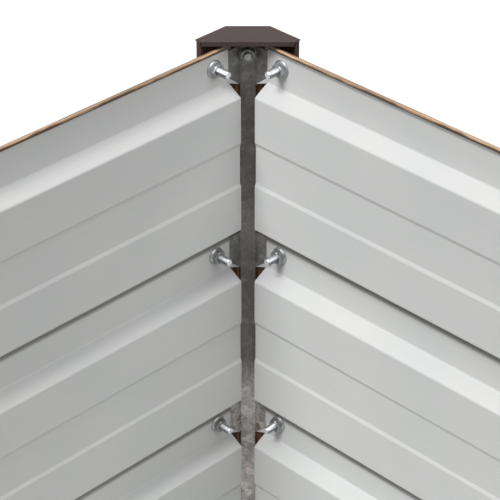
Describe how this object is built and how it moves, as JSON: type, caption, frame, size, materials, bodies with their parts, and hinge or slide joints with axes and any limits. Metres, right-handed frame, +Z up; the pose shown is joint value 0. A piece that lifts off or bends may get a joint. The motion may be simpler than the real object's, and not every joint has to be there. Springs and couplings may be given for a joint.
{
  "type": "raised garden bed",
  "caption": "Square open-bottomed raised garden bed: walls of ship-lapped roll-formed steel boards bolted to folded corner brackets, with chamfered corner covers and flat corner caps.",
  "frame": {"origin": "on the ground, at the middle of the footprint", "axes": "+Z up; the walls run along X and Y, with the back wall at +Y and the right wall at +X"},
  "size_m": [1, 1, 0.463],
  "materials": {
    "board_steel": "coil-coated steel, wood-brown streaked outside and light grey inside",
    "trim_steel": "dark grey-brown coating outside, brown inside",
    "galvanised_steel": "hot-dip galvanised with a fine spangle",
    "zinc_fasteners": "bright zinc plated"
  },
  "bodies": {
    "root": {"board_back_top": "board_steel", "board_left_top": "board_steel", "board_front_top": "board_steel", "board_right_top": "board_steel", "board_back_middle": "board_steel", "board_left_middle": "board_steel", "board_front_middle": "board_steel", "board_right_middle": "board_steel", "board_back_bottom": "board_steel", "board_left_bottom": "board_steel", "board_front_bottom": "board_steel", "board_right_bottom": "board_steel", "corner_bracket_back_right": "galvanised_steel", "corner_cover_back_right": "trim_steel", "corner_cap_back_right": "trim_steel", "panel_bolts_back_right": "zinc_fasteners", "panel_nuts_back_right": "zinc_fasteners", "cover_bolts_back_right": "zinc_fasteners", "cover_nuts_back_right": "zinc_fasteners", "corner_bracket_back_left": "galvanised_steel", "corner_cover_back_left": "trim_steel", "corner_cap_back_left": "trim_steel", "panel_bolts_back_left": "zinc_fasteners", "panel_nuts_back_left": "zinc_fasteners", "cover_bolts_back_left": "zinc_fasteners", "cover_nuts_back_left": "zinc_fasteners", "corner_bracket_front_left": "galvanised_steel", "corner_cover_front_left": "trim_steel", "corner_cap_front_left": "trim_steel", "panel_bolts_front_left": "zinc_fasteners", "panel_nuts_front_left": "zinc_fasteners", "cover_bolts_front_left": "zinc_fasteners", "cover_nuts_front_left": "zinc_fasteners", "corner_bracket_front_right": "galvanised_steel", "corner_cover_front_right": "trim_steel", "corner_cap_front_right": "trim_steel", "panel_bolts_front_right": "zinc_fasteners", "panel_nuts_front_right": "zinc_fasteners", "cover_bolts_front_right": "zinc_fasteners", "cover_nuts_front_right": "zinc_fasteners"}
  },
  "joints": []
}
